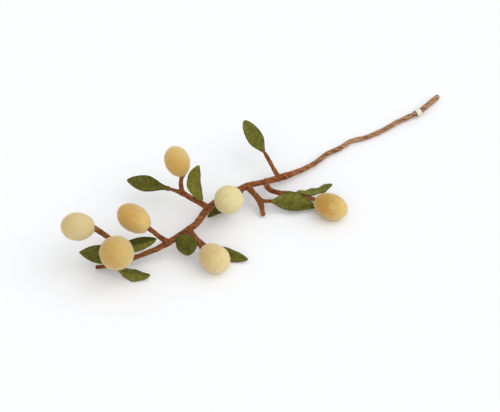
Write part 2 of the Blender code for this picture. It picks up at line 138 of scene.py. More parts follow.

# Each leaf: its tip, the way its upper face looks, its width, the rise of its midrib in the middle,
# the sideways bend, how many degrees its halves fold up, the height of its edge waves, where it is
# widest (under 1 is nearer its neck), how pointed its neck end and its tip are (less is blunter), the
# share of light wool in it, and the painted shade that one half has less of it (below 0, a painted highlight)
Leaf = namedtuple("Leaf", "tip face width bow sway fold wave belly base end light drop", defaults=(0.0,))
LEAVES = {
    "leaf_1": Leaf((-261, 28, 24), (-0.5, -0.5, 0.7), 21.0, 2.0, 0.0, 6.0, 0.7, 0.8, 0.8, 0.8, 0.28),
    "leaf_2": Leaf((-206, -34, 6), (-0.74, -0.66, 0.17), 17.5, 2.0, 2.0, 35.0, 0.7, 0.9, 0.8, 0.6, 0.6, 0.55),
    "leaf_3": Leaf((-177, -3, 22), (-0.4, -0.7, 0.6), 15.5, 0.0, 0.0, 30.0, 0.8, 0.8, 0.8, 0.6, 0.55, 0.7),
    "leaf_4": Leaf((-158.5, -27.5, 7.5), (-0.8, -0.4, 0.4), 26.0, 7.0, 0.0, 4.0, 0.7, 0.72, 0.55, 0.42, 0.1),
    "leaf_5": Leaf((-100, -76, 4), (-0.35, -0.3, 0.9), 15.5, -0.5, -0.8, 4.0, 0.6, 0.8, 0.8, 0.6, 0.32),
    "leaf_6": Leaf((-102, 5, 7), (0.0, 0.0, 1.0), 17.0, 0.0, 0.0, 4.0, 0.4, 0.8, 0.8, 0.7, 0.3),
    "leaf_7": Leaf((-160, 90, 33), (-0.4, -0.3, 0.8), 19.5, 1.8, 0.0, 8.0, 0.6, 1.1, 1.35, 0.75, 0.2),
    "leaf_8": Leaf((-90, 41, 57), (-0.76, -0.22, 0.62), 19.5, 4.0, 4.0, 14.0, 0.6, 0.95, 0.55, 0.45, 0.7),
    "leaf_9": Leaf((15, -55, 5), (-0.4, -0.6, 0.7), 22.5, 2.5, 3.5, 6.0, 1.2, 0.8, 1.0, 0.9, 0.32, -0.22),
    "leaf_10": Leaf((43, -46.5, 22), (0.05, 0.25, 0.97), 15.0, -4.5, -1.0, 8.0, 0.9, 1.1, 0.3, 0.35, 0.42),
    "leaf_11": Leaf((7, 86, 46), (-0.4, -0.5, 0.7), 19.5, 3.0, 0.0, 8.0, 0.6, 0.8, 1.0, 0.55, 0.45),
}
LEAF_SEAT = 2.6      # how deep a stalk's end sits in the neck of its leaf
LEAF_THICK = 2.6     # felt at the midrib
LEAF_TAPER = 0.3     # how much thinner a leaf is at its tip, as a share
TIP_ROUND = 0.05     # share of a leaf over which its felt thins out to a round tip
NECK_WIDTH = 5.8
NECK_THICK = 5.0
NECK_LENGTH = 0.22   # share of the leaf over which the neck flattens out
COLLAR = 1.5         # how far the green wool runs back over the stalk
LONG_COLLARS = {"leaf_4": 4.0, "leaf_7": 2.5, "leaf_10": 5.0}     # on stalks that bend near their leaf
COLLAR_LIFT = 0.25   # how far its start lies over the stalk's wool
COLLAR_TUCK = 0.6    # how much lower its end lies
COLLAR_BROWN = 0.3   # share of the stalk's brown that is left at the neck
BROWN_FADE = 8.0     # how fast that ends, in each whole leaf
CREASE = 1.6         # half width of the rounded crease along the midrib
WAVES = 2.5          # long waves along each edge
WAVE_SHIFT = 0.25    # how far the waves of one edge lie behind the other's, in waves
RAGGED = 0.035       # how unevenly a leaf is cut, as a share of its width
RAGGED_STEP = 3.2    # length of that unevenness along its edge
RIPPLE = 0.25        # height of the small ripples along its edge
RIPPLE_STEP = 2.6
LEAF_LUMPS = ((0.1, 3.0), (0.09, 1.2))
LEAF_RINGS = 72
RING_SPREAD = 1.15   # over 1, the rings lie closer together towards the neck
LAST_RING = 0.9995   # share of the leaf at its last ring
LEAF_ROUND = 56      # points round one ring of a leaf
COLLAR_RINGS = 6
LEAF_SQUARE = 2.6    # 2 gives a leaf an oval section, more makes its edges blunter
VEIN_PAIRS = 6
VEIN_SLANT = 0.16    # how far a side vein runs on towards the tip, as a share of the leaf
VEIN_DEPTH = 0.22
VEIN_WIDTH = 0.018   # of a side vein, as a share of the leaf's length
RIB_WIDTH = 0.09     # of the midrib, as a share of the leaf's half width
SIDE_VEINS = 0.7     # strength of a side vein beside the midrib's

# Tape loop
TAPE_AT = 226.0      # x of its middle
TAPE_WIDTH = 7.4
TAPE_THICK = 0.7
TAPE_ROOM = 0.6
TAPE_TAIL = 2.6
TAPE_RIBS = 0.12     # height of its weave in the shading
TAPE_FACES = ((0.15, 0.5), (1.0, 0.95))     # in thicknesses, how far out they lie at the stem and tail
TAPE_WOBBLE = 0.25   # how far its edges wander
WOBBLE_STEP = 4.0
TAPE_STEPS = 72      # round the stem
TAIL_STEPS = 5
TAPE_ROW = 9         # points across the tape

# Stem wool
STEM_GRAIN = 0.85    # size of the stem's mesh faces
RING_STEP = 3.0      # between two rings of a run
RUN_SIDES = 20
FILLET = 0.8         # softness of the wool where a twig branches off
TWIST = 30.0         # length of stem over which its fibres go once round
WANDER = 1.6         # how unevenly they do it
WANDER_LONG = 24.0   # length of the slow unevenness along it
WANDER_SHORT = 9.0
RIDGES = (           # the height of its strands, cords and knots, and how fine they are along and round
    (0.15, 0.16, 0.75),
    (0.16, 0.07, 0.34),
    (0.42, 0.15, 0.10),
)
SKIN_LUMPS = ((0.2, 3.0),)
TAN_RAMP = (5.0, 120.0)          # from this x on, and over this length, its wool turns tan
LIGHT_RAMP = (-110.0, 150.0)     # the same for its share of light wool
LIGHT_SHARE = (0.36, 0.14)       # that share before it, and how much is gained
END_TURNS = (0.5, 1.0, 1.4)      # radians at which the rings of a rounded end lie
WIRE_HOLE = 1.25     # radius of the hole in the cut end
HOLE_DEPTH = 2.0
HOLE_WORN = 0.4      # how much wider the hole is at its edge
CUT_FLAT = 0.8       # share of the cut face that is flat
CUT_WORN = 0.9       # how far back its rounded rim goes
END_KEPT = 3.5       # the cut end keeps its own shape over this length
REACH = 12.0         # a run farther away than this has no say in the shape
FAR = 99.0           # stands for the distance of such a run
RUN_SHIFT = 37.0     # keeps the noise of each run apart from the next one's
SKIN_PASSES = 3      # times that the skin is moved onto the blended wool
BATCH = 6000         # points worked on at a time

# Wire
WIRED_LEAVES = ("leaf_7", "leaf_9", "leaf_11")     # the leaves that have wire in their twigs
STEM_WIRE = 0.9      # radius of the thick wire in the stem
TWIG_WIRE = 0.6
WIRE_BACK = 1.4      # how far its rounded start lies back in the cut end
WIRE_SHORT = 2       # how many points it stops short of an end that holds no lemon
WIRE_REACH = 11.0    # how far it reaches into a lemon
STEEL = ((150, 150, 148), (206, 206, 202))     # its two greys as screen colours

# Loose fibres: how many stand on a square millimetre, and about how long they are
STEM_FIBRES = (0.28, 1.7)
LEMON_FIBRES = (0.55, 1.5)
LEAF_FIBRES = (0.45, 1.3)
FIBRE_WIDTH = 0.05

# Matted wool: the height of its fibres in the shading, and how much painted shade darkens the lowest of them
LEMON_PILE = (0.3, 0.34)
LEAF_PILE = (0.35, 0.5)
BARK_PILE = (0.6, 0.62)
LEMON_FIBRE_SHADE = 0.78     # brightness of the painted shade on a lemon's lowest fibres, beside its first wool

# Camera and light
AIM = Vector((-46.3, -3.0, 0.4)) * MM
VIEW_TURN = math.radians(-35)
VIEW_RISE = math.radians(45)
VIEW_DISTANCE = 1.5
LENS = 90
FLOOR_DROP = 0.0001
FLOOR_REACH = 8.0
LIGHTS = {           # the way to each, and its strength
    "right_light": ((0.53, -0.37, 0.77), 0.92),
    "front_light": ((-0.41, -0.58, 0.71), 0.5),
}
LIGHT_SPREAD = 60

DYES = {             # screen colours of the wool, of its sheen and of the tape
    "bark_deep": (74, 36, 17),
    "bark_light": (194, 118, 66),
    "bark_tan": (226, 176, 130),
    "leaf_deep": (72, 71, 20),
    "leaf_light": (150, 146, 62),
    # partly the dark wool of a leaf's edge, partly painted shade on its thick edge
    "leaf_edge_and_shade": (52, 52, 20),
    "lemon_sheen": (255, 246, 220),
    "leaf_sheen": (222, 226, 140),
    "bark_sheen": (255, 206, 160),
    "tape": (252, 246, 234),
    "tape_shade": (234, 224, 204),
}


# Curves


def tangents(points):
    """The direction of travel at each point of a route, as change per millimetre."""
    gaps = [(b - a).xyz.length for a, b in zip(points, points[1:])]
    slopes = [(b - a) / gap for a, b, gap in zip(points, points[1:], gaps)]
    middle = [
        (slopes[i] * gaps[i + 1] + slopes[i + 1] * gaps[i]) / (gaps[i] + gaps[i + 1])
        for i in range(len(slopes) - 1)
    ]
    return [slopes[0], *middle, slopes[-1]]


def smooth(route, step):
    """Points about "step" apart on a smooth curve through the route's own points."""
    points = [Vector(p) for p in route]
    ways = tangents(points)
    curve = [points[0]]
    for i in range(len(points) - 1):
        a, b = points[i], points[i + 1]
        gap = (b - a).xyz.length
        pieces = max(1, round(gap / step))
        for k in range(1, pieces + 1):
            u = k / pieces
            ease = u * u * (3 - 2 * u)
            leaving = gap * u * (1 - u) ** 2
            arriving = gap * u * u * (u - 1)
            curve.append(a.lerp(b, ease) + ways[i] * leaving + ways[i + 1] * arriving)
    return curve


def rooted(route, parent):
    """The route with its first point moved to the nearest spot on the centre line that it grows from."""
    start = Vector(route[0][:3])
    spots = []
    for a, b in zip(parent, parent[1:]):
        share = intersect_point_line(start, a.xyz, b.xyz)[1]
        spots.append(a.xyz.lerp(b.xyz, min(1.0, max(0.0, share))))
    nearest = min(spots, key=lambda spot: (spot - start).length)
    return ((*nearest, route[0][3]), *route[1:])


# A length of wool-covered wire: its centre line, radii, distances along it, and two directions across
Run = namedtuple("Run", "points radii along across beside")


def run_of(curve, round_tip=False):
    """The run along a curve, drawn back by its own radius where it ends in a round tip."""
    points = [p.copy() for p in curve]
    if round_tip:
        back = (curve[-2] - curve[-1]).xyz.normalized()
        points[-1].xyz += back * curve[-1].w
    heading = (points[1] - points[0]).xyz.normalized()
    across = heading.orthogonal().normalized()
    acrosses, besides, along = [], [], [0.0]
    for i in range(len(points)):
        before, after = points[max(i - 1, 0)].xyz, points[min(i + 1, len(points) - 1)].xyz
        turned = (after - before).normalized()
        across = heading.rotation_difference(turned) @ across
        heading = turned
        acrosses.append(across[:])
        besides.append(heading.cross(across)[:])
        if i:
            along.append(along[-1] + (points[i] - points[i - 1]).xyz.length)
    xyz = np.array([p[:3] for p in points])
    return Run(xyz, np.array([p.w for p in points]), np.array(along), np.array(acrosses), np.array(besides))


# Meshes


def mesh_of(name, vertices, faces):
    """A smooth-shaded mesh from points in millimetres."""
    data = bpy.data.meshes.new(name)
    data.from_pydata((np.asarray(vertices) * MM).tolist(), [], faces)
    data.update()
    data.shade_smooth()
    return data


def linked(name, data):
    """A new object in the scene that holds this mesh, lamp or camera."""
    item = bpy.data.objects.new(name, data)
    bpy.context.scene.collection.objects.link(item)
    return item


def placed(name, data, finish):
    """A named object at the origin that shows this mesh in this finish."""
    data.materials.append(finish)
    return linked(name, data)


def tube_faces(rings, around, start=0):
    """The faces between rings of points that follow each other, and one over each end."""
    faces = []
    for r in range(rings - 1):
        for k in range(around):
            a, b = start + r * around + k, start + r * around + (k + 1) % around
            faces.append((a, b, b + around, a + around))
    end = start + (rings - 1) * around
    faces.append(list(range(start, start + around))[::-1])
    faces.append(list(range(end, end + around)))
    return faces


def add_values(data, name, values):
    """Stores one number, or one vector, for each point of the mesh."""
    values = np.asarray(values, dtype=np.float32)
    kind, key = ("FLOAT", "value") if values.ndim == 1 else ("FLOAT_VECTOR", "vector")
    data.attributes.new(name, kind, "POINT").data.foreach_set(key, values.ravel())


def points_of(data):
    """The mesh's points in millimetres."""
    flat = np.empty(len(data.vertices) * 3)
    data.vertices.foreach_get("co", flat)
    return flat.reshape(-1, 3) / MM


def set_points(data, points):
    """Moves the mesh's points here, and none of them below the surface that the branch lies on."""
    points[:, 2] = points[:, 2].clip(0, None)
    data.vertices.foreach_set("co", (points * MM).ravel())
    data.update()


def apply_modifiers(item):
    graph = bpy.context.evaluated_depsgraph_get()
    result = bpy.data.meshes.new_from_object(item.evaluated_get(graph))
    item.modifiers.clear()
    item.data = result
    result.name = item.name


def lengths(vectors):
    return np.sqrt((vectors ** 2).sum(-1))


def lumps(points, size, seed):
    """Smooth noise from -1 to 1 at each point, with lumps of that size."""
    shift = Vector((seed * 7.3, seed * 3.1, seed * 5.7))
    return np.array([noise.noise(Vector(p) / size + shift) for p in points])


def lumpy(points, kinds, seed):
    """The height of lumps of several kinds at each point."""
    return sum(height * lumps(points, size, seed) for height, size in kinds)


def ridges(wrap, kind, seed):
    """The height of ridges in wrapped wool, drawn out along it."""
    height, fine_along, fine_round = kind
    return height * lumps(wrap * (fine_along, fine_round, fine_round), 1.0, seed)


# Stem


def add_run(vertices, faces, run, cut=False):
    """Adds a closed tube along the run, round at its ends, or with a cut end and a hole for the wire."""
    first = len(vertices)
    turns = [math.tau * k / RUN_SIDES for k in range(RUN_SIDES)]
    heading = np.cross(run.across, run.beside)
    rings = [(i, 0.0, run.radii[i]) for i in range(len(run.points))]
    last, rim, end_rim = len(run.points) - 1, run.radii[0], run.radii[-1]
    tip = [(last, math.sin(a) * end_rim, math.cos(a) * end_rim) for a in END_TURNS]
    if cut:
        hole = [(0, HOLE_DEPTH, WIRE_HOLE), (0, HOLE_WORN / 2, WIRE_HOLE), (0, 0.0, WIRE_HOLE + HOLE_WORN)]
        start = [*hole, (0, 0.0, rim * CUT_FLAT), (0, CUT_WORN, rim)]
        rings = rings[1:]
    else:
        start = [(0, -math.sin(a) * rim, math.cos(a) * rim) for a in reversed(END_TURNS)]
    rings = start + rings + tip
    for i, ahead, radius in rings:
        centre = run.points[i] + heading[i] * ahead
        for t in turns:
            out = run.across[i] * math.cos(t) + run.beside[i] * math.sin(t)
            vertices.append(centre + out * radius)
    faces += tube_faces(len(rings), RUN_SIDES, first)


def on_run(run, spots):
    """For each spot: how far outside the run's wool it is, the way out, and its place along and round."""
    starts, steps = run.points[:-1], run.points[1:] - run.points[:-1]
    share = ((spots[:, None] - starts) * steps).sum(2) / (steps ** 2).sum(1)
    share = share.clip(0, 1)
    away = spots[:, None] - (starts + share[..., None] * steps)
    far = lengths(away)
    outside = far - (run.radii[:-1] + share * (run.radii[1:] - run.radii[:-1]))
    best = outside.argmin(1)
    row = np.arange(len(spots))
    share, away, far = share[row, best], away[row, best], far[row, best]
    out = away / np.maximum(far, 1e-6)[:, None]
    along = run.along[best] + share * (run.along[best + 1] - run.along[best])
    turn = np.arctan2((away * run.beside[best]).sum(1), (away * run.across[best]).sum(1))
    return outside[row, best], out, along, turn


def ramp(spots, start, length):
    """0 up to this x, and from there on rising to 1 over this length."""
    return np.clip((spots[:, 0] - start) / length, 0, 1)


def wool_field(runs, spots):
    """How far each spot is outside the blended wool, the way out, and its place on its nearest run."""
    count = len(spots)
    outside = np.full((count, len(runs)), FAR)
    out = np.zeros((count, len(runs), 3))
    along = np.zeros((count, len(runs)))
    turn = np.zeros((count, len(runs)))
    for r, run in enumerate(runs):
        low, high = run.points.min(0) - REACH, run.points.max(0) + REACH
        near = np.flatnonzero(((spots > low) & (spots < high)).all(1))
        for chunk in np.array_split(near, len(near) // BATCH + 1):
            found = on_run(run, spots[chunk])
            outside[chunk, r], out[chunk, r], along[chunk, r], turn[chunk, r] = found
    weights = np.exp(-outside / FILLET)
    total = weights.sum(1)
    weights /= total[:, None]
    way = (out * weights[..., None]).sum(1)
    way /= np.maximum(lengths(way), 1e-6)[:, None]
    nearest = outside.argmin(1)
    row = np.arange(count)
    return {
        "outside": -FILLET * np.log(total),
        "way": way,
        "run": nearest,
        "sure": weights[row, nearest],
        "along": along[row, nearest],
        "turn": turn[row, nearest],
        "radius": np.array([run.radii.mean() for run in runs])[nearest],
    }


def wool_stem(curves, finish):
    """The stem with all its twigs: one skin of wool, blended where they branch, with twisted fibres on it."""
    runs = [run_of(curve, round_tip=name in ("stem", "spur")) for name, curve in curves.items()]
    vertices, faces = [], []
    for r, run in enumerate(runs):
        add_run(vertices, faces, run, cut=r == 0)
    item = placed("stem_wool", mesh_of("stem_wool", vertices, faces), finish)
    remesh = item.modifiers.new("skin", "REMESH")
    remesh.mode = "VOXEL"
    remesh.voxel_size = STEM_GRAIN * MM
    remesh.use_smooth_shade = True
    apply_modifiers(item)
    spots = points_of(item.data)
    place = wool_field(runs, spots)
    free = ~((place["run"] == 0) & (place["along"] < END_KEPT))
    for _ in range(SKIN_PASSES):
        place = wool_field(runs, spots)
        spots[free] -= (place["way"] * place["outside"][:, None])[free]
    shift = place["run"] * RUN_SHIFT
    apart = np.column_stack([place["along"], shift, shift * 0.0])
    wander = lumps(apart, WANDER_LONG, 4) + 0.5 * lumps(apart, WANDER_SHORT, 5)
    twisted = place["turn"] - place["along"] * math.tau / TWIST + WANDER * wander
    wound = place["radius"] * np.cos(twisted), place["radius"] * np.sin(twisted)
    wrap = np.column_stack([place["along"] + shift, *wound])
    sure = np.clip(place["sure"] * 2 - 1, 0, 1)
    height = sum(ridges(wrap, kind, seed) * sure for seed, kind in enumerate(RIDGES, 1))
    height += lumpy(spots, SKIN_LUMPS, 6)
    spots[free] += (place["way"] * height[:, None])[free]
    set_points(item.data, spots)
    add_values(item.data, "wrap", wrap)
    add_values(item.data, "sure", sure)
    add_values(item.data, "tan", ramp(spots, *TAN_RAMP))
    add_values(item.data, "light", LIGHT_SHARE[0] + LIGHT_SHARE[1] * ramp(spots, *LIGHT_RAMP))
    return item


def wire_core(curves, finish):
    """The wire in the middle of the wool: thin wires twisted onto a thick one, seen only at the cut end."""
    vertices, faces = [], []
    for name, curve in curves.items():
        thickness = TWIG_WIRE
        if name in LEMONS:
            step = curve[-1] - curve[-2]
            route = [*curve, curve[-1] + step * (WIRE_REACH / step.xyz.length)]
        elif name == "stem":
            step = curve[1] - curve[0]
            route = [curve[0] + step * (WIRE_BACK / step.xyz.length), *curve[1:-WIRE_SHORT]]
            thickness = STEM_WIRE
        elif name == "spur" or name in WIRED_LEAVES:
            route = curve[:-WIRE_SHORT]
        else:
            continue
        run = run_of(route)
        run.radii[:] = thickness
        add_run(vertices, faces, run)
    return placed("wire_drawn", mesh_of("wire_drawn", vertices, faces), finish)


# Lemons


def lemon(name, curve, finish):
    """A needle-felted lemon, pushed onto the end of its twig."""
    facts = LEMONS[name]
    blossom, end = Vector(facts.blossom), curve[-1].xyz
    axis = (blossom - end).normalized()
    seat = end - axis * LEMON_SEAT
    half = ((blossom - seat).length - NIPPLE - LEMON_FUZZ) / 2
    radius = facts.width / 2 - LEMON_FUZZ
    ball = bmesh.new()
    bmesh.ops.create_icosphere(ball, subdivisions=LEMON_SPLITS, radius=1.0)
    data = bpy.data.meshes.new(name)
    ball.to_mesh(data)
    ball.free()
    data.shade_smooth()
    way = points_of(data) * MM     # on a ball of radius 1
    along = way[:, 2]
    wide = radius * (1 + LEMON_EGG * along)
    points = np.column_stack([way[:, 0] * wide, way[:, 1] * wide, half * (1 + along)])
    outward = way / (radius, radius, half)
    outward /= lengths(outward)[:, None]
    spread = np.hypot(points[:, 0], points[:, 1])
    points[:, 2] += NIPPLE * np.exp(-((spread / NIPPLE_SPREAD) ** 2)) * (along > 0)
    points[:, 2] += DENT * np.exp(-((spread / DENT_SPREAD) ** 2)) * (along < 0)
    seed = sorted(LEMONS).index(name)
    points += outward * lumpy(points, LEMON_LUMPS, seed)[:, None]
    turn = np.array(axis.to_track_quat("Z", "Y").to_matrix())
    points = points @ turn.T + np.array(seat)
    middle = np.array(seat + axis * half)
    toward = np.array(Vector(facts.toward).normalized())
    # the fade to the paler wool across the lemon is partly the two wools, partly painted light and shade on
    # its sides
    pale_wool_and_light = facts.share + (points - middle) @ toward / facts.width * PALE_FADE
    set_points(data, points)
    add_values(data, "pale_wool_and_light", pale_wool_and_light)
    return placed(name + "_felt", data, finish)


# Leaves


def leaf_ring(s, length, facts, seed):
    """One ring round a leaf at share s of its length: its points, and how far each is across the leaf."""
    shifted = s ** facts.belly
    blade = facts.width / 2 * math.sin(math.pi * shifted) ** (facts.base if shifted < 0.5 else facts.end)
    fade = max(0.0, 1 - s / NECK_LENGTH) ** 2
    half_width = math.hypot(blade, NECK_WIDTH / 2 * (1 - s))
    thick = (LEAF_THICK + (NECK_THICK - LEAF_THICK) * fade) / 2 * (1 - LEAF_TAPER * s)
    thick *= math.sqrt(1 - max(0.0, (s - 1 + TIP_ROUND) / TIP_ROUND) ** 2)
    rise = math.tan(math.radians(facts.fold)) * (1 - fade)
    swell = 4 * s * (1 - s)
    ring, shares = [], []
    for k in range(LEAF_ROUND):
        turn = math.tau * (k + 0.5) / LEAF_ROUND
        across = math.copysign(abs(math.cos(turn)) ** (2 / LEAF_SQUARE), math.cos(turn))
        above = math.copysign(abs(math.sin(turn)) ** (2 / LEAF_SQUARE), math.sin(turn))
        side = across > 0
        ragged = noise.noise((s * length / RAGGED_STEP, 9 * side, seed))
        y = half_width * across * (1 + RAGGED * (1 - fade) * ragged)
        wave = math.sin(math.tau * (WAVES * s + WAVE_SHIFT * side))
        ripple = noise.noise((s * length / RIPPLE_STEP, 5 * side, seed + 4))
        edge = across * across * (1 - fade) * (facts.wave * wave + RIPPLE * ripple)
        lift = facts.bow * swell + rise * (math.hypot(y, CREASE) - CREASE) + edge
        ring.append((length * s, y + facts.sway * swell, lift + thick * above))
        shares.append(across)
    return ring, shares


def vein_mask(s, across):
    """1 on the midrib and the side veins of a leaf, 0 between them."""
    slant = s - abs(across) * VEIN_SLANT
    from_vein = abs((slant * VEIN_PAIRS + 0.5) % 1 - 0.5) / VEIN_PAIRS
    side = math.exp(-((from_vein / VEIN_WIDTH) ** 2)) * (1 - abs(across)) ** 0.5 * min(1.0, s * 6)
    rib = math.exp(-((across / RIB_WIDTH) ** 2))
    return max(rib, side * SIDE_VEINS) * (1 - across ** 4)


def back_along(curve, distance):
    """The centre, the radius and the heading of a stalk at this distance back from its end."""
    for a, b in zip(curve[-2::-1], curve[:0:-1]):
        step = (b - a).xyz.length
        if distance <= step:
            spot = b.lerp(a, distance / step)
            break
        distance -= step
    else:
        spot = a
    return np.array(spot[:3]), spot.w, np.array((b - a).xyz.normalized())


def collar_rings(name, curve, neck, first_ring):
    """The rings of green wool that run back from a leaf's first ring over its stalk."""
    rings = []
    for i in range(COLLAR_RINGS, 0, -1):
        u = i / COLLAR_RINGS
        centre, radius, ahead = back_along(curve, LEAF_SEAT + LONG_COLLARS.get(name, COLLAR) * u)
        ease = u * u * (3 - 2 * u)
        spokes = first_ring - neck
        spokes = spokes - np.outer(spokes @ ahead, ahead) * ease
        reach = lengths(spokes)[:, None]
        tucked = radius + COLLAR_LIFT - COLLAR_TUCK * u
        rings.append(centre + spokes * (1 - ease + ease * tucked / reach))
    return rings


def leaf(name, curve, finish):
    """A felt leaf on the end of its stalk, its green wool worked back over the stalk."""
    facts = LEAVES[name]
    back = (curve[-1] - curve[-2]).xyz.normalized()
    neck = curve[-1].xyz - back * LEAF_SEAT
    tip = Vector(facts.tip)
    length = (tip - neck).length
    seed = 11.0 * int(name.split("_")[1])
    x_way = (tip - neck).normalized()
    face = Vector(facts.face)
    z_way = (face - x_way * face.dot(x_way)).normalized()
    turn = np.array([x_way, z_way.cross(x_way), z_way])
    front = COLLAR_RINGS * LEAF_ROUND
    far_back = [(COLLAR_RINGS - i // LEAF_ROUND) / COLLAR_RINGS for i in range(front)]
    points = []
    stored = {
        "rim": [0.0] * front,
        "vein": [0.0] * front,
        "collar": [COLLAR_BROWN + (1 - COLLAR_BROWN) * share for share in far_back],
        "light": [facts.light] * front,
    }
    for i in range(LEAF_RINGS):
        s = math.sin(math.pi / 2 * i / (LEAF_RINGS - 1)) ** RING_SPREAD * LAST_RING
        ring, shares = leaf_ring(s, length, facts, seed)
        points.append(np.array(ring) @ turn + np.array(neck))
        stored["rim"] += [abs(a) for a in shares]
        stored["vein"] += [vein_mask(s, a) for a in shares]
        stored["collar"] += [max(0.0, COLLAR_BROWN - s * BROWN_FADE)] * LEAF_ROUND
        # painted shade: one half of the leaf takes less light wool for the shade on its folded half; a
        # negative value paints a highlight there
        stored["light"] += [facts.light - facts.drop * min(1.0, max(0.0, 0.5 + 4 * a)) for a in shares]
    points = np.concatenate(collar_rings(name, curve, np.array(neck), points[0]) + points)
    data = mesh_of(name, points, tube_faces(COLLAR_RINGS + LEAF_RINGS, LEAF_ROUND))
    bumps = lumpy(points, LEAF_LUMPS, seed) - VEIN_DEPTH * np.array(stored["vein"])
    normals = np.empty(len(points) * 3)
    data.vertex_normals.foreach_get("vector", normals)
    points = points + normals.reshape(-1, 3) * bumps[:, None]
    set_points(data, points)
    for key, values in stored.items():
        add_values(data, key, values)
    return placed(name + "_felt", data, finish)


# Tape loop


def tape_loop(curve, finish):
    """A strip of woven tape folded round the stem, its two ends stitched together in a short tail."""
    at = min(range(len(curve)), key=lambda i: abs(curve[i].x - TAPE_AT))
    middle = curve[at].xyz
    along = (curve[at + 1] - curve[at - 1]).xyz.normalized()
    beside = Vector((0, 0, 1)).cross(along).normalized()
    up = beside.cross(along)
    inner = curve[at].w + TAPE_ROOM
    outer = inner + TAPE_THICK
    half_tail = math.asin(TAPE_THICK / outer)
    turns = [half_tail + (math.tau - 2 * half_tail) * k / TAPE_STEPS for k in range(TAPE_STEPS + 1)]
    vertices, weave = [], []
    for round_stem, in_tail in TAPE_FACES:
        radius = inner + TAPE_THICK * round_stem
        lift = up * (TAPE_THICK * in_tail)
        tail = [middle + beside * (outer + TAPE_TAIL * k / TAIL_STEPS) for k in range(TAIL_STEPS + 1)]
        path = [spot + lift for spot in tail[:0:-1]]
        for turn in turns:
            path.append(middle + beside * radius * math.cos(turn) + up * radius * math.sin(turn))
        path += [spot - lift for spot in tail[1:]]
        travelled = 0.0
        for before, spot in zip([path[0], *path], path):
            travelled += (spot - before).length
            for w in range(TAPE_ROW):
                share = w / (TAPE_ROW - 1) - 0.5
                uneven = noise.noise((travelled / WOBBLE_STEP, 3 * (share > 0), 0.5))
                vertices.append(spot + along * (TAPE_WIDTH * share + TAPE_WOBBLE * uneven * abs(share)))
                weave.append((travelled, TAPE_WIDTH * share, 0.0))
    return placed("tape_strip", strip_mesh(vertices, weave, len(path)), finish)


def strip_mesh(vertices, weave, count):
    """A strip with two faces and an edge all round, from the rows of points across its two faces."""
    faces = []
    for layer in (0, 1):
        for i in range(count - 1):
            for w in range(TAPE_ROW - 1):
                a = (layer * count + i) * TAPE_ROW + w
                quad = (a, a + 1, a + 1 + TAPE_ROW, a + TAPE_ROW)
                faces.append(quad if layer else quad[::-1])
    edge = [(i, 0) for i in range(count)]
    edge += [(count - 1, w) for w in range(1, TAPE_ROW)]
    edge += [(i, TAPE_ROW - 1) for i in range(count - 2, -1, -1)]
    edge += [(0, w) for w in range(TAPE_ROW - 2, 0, -1)]
    loop = [i * TAPE_ROW + w for i, w in edge]
    for a, b in zip(loop, loop[1:] + loop[:1]):
        faces.append((a, b, b + count * TAPE_ROW, a + count * TAPE_ROW))
    data = mesh_of("tape", [v[:] for v in vertices], faces)
    mesh = bmesh.new()
    mesh.from_mesh(data)
    bmesh.ops.recalc_face_normals(mesh, faces=mesh.faces)
    mesh.to_mesh(data)
    mesh.free()
    data.set_sharp_from_angle(angle=math.radians(50))
    add_values(data, "weave", weave)
    return data


# Node trees


def new_tree(name, kind, inputs, output):
    """A new tree with inputs and an output of these names and kinds, and the sockets of its inputs."""
    tree = bpy.data.node_groups.new(name, kind)
    for label, socket in inputs.items():
        tree.interface.new_socket(label, in_out="INPUT", socket_type="NodeSocket" + socket)
    tree.interface.new_socket(output[0], in_out="OUTPUT", socket_type="NodeSocket" + output[1])
    return tree, tree.nodes.new("NodeGroupInput").outputs


def node(tree, kind, inputs=None, **settings):
    """A new node with its settings. An input takes a value, a socket or another node's first output."""
    made = tree.nodes.new(kind)
    for key, value in settings.items():
        setattr(made, key, value)
    for key, value in (inputs or {}).items():
        if isinstance(value, bpy.types.Node):
            value = value.outputs[0]
        if isinstance(value, bpy.types.NodeSocket):
            tree.links.new(value, made.inputs[key])
        else:
            made.inputs[key].default_value = value
    return made


def maths(tree, operation, *values, **settings):
    """The result of this operation on numbers or sockets."""
    return node(tree, "ShaderNodeMath", dict(enumerate(values)), operation=operation, **settings)


def clouds(tree, place, scale, detail, distortion=0.0):
    """Soft noise from 0 to 1."""
    inputs = {"Vector": place, "Scale": scale, "Detail": detail, "Distortion": distortion}
    return node(tree, "ShaderNodeTexNoise", inputs)


def blended(tree, factor, first, second):
    """The colour that lies this far from the first to the second."""
    inputs = {"Factor": factor, "A": first, "B": second}
    return node(tree, "ShaderNodeMix", inputs, data_type="RGBA").outputs["Result"]


# Loose fibres


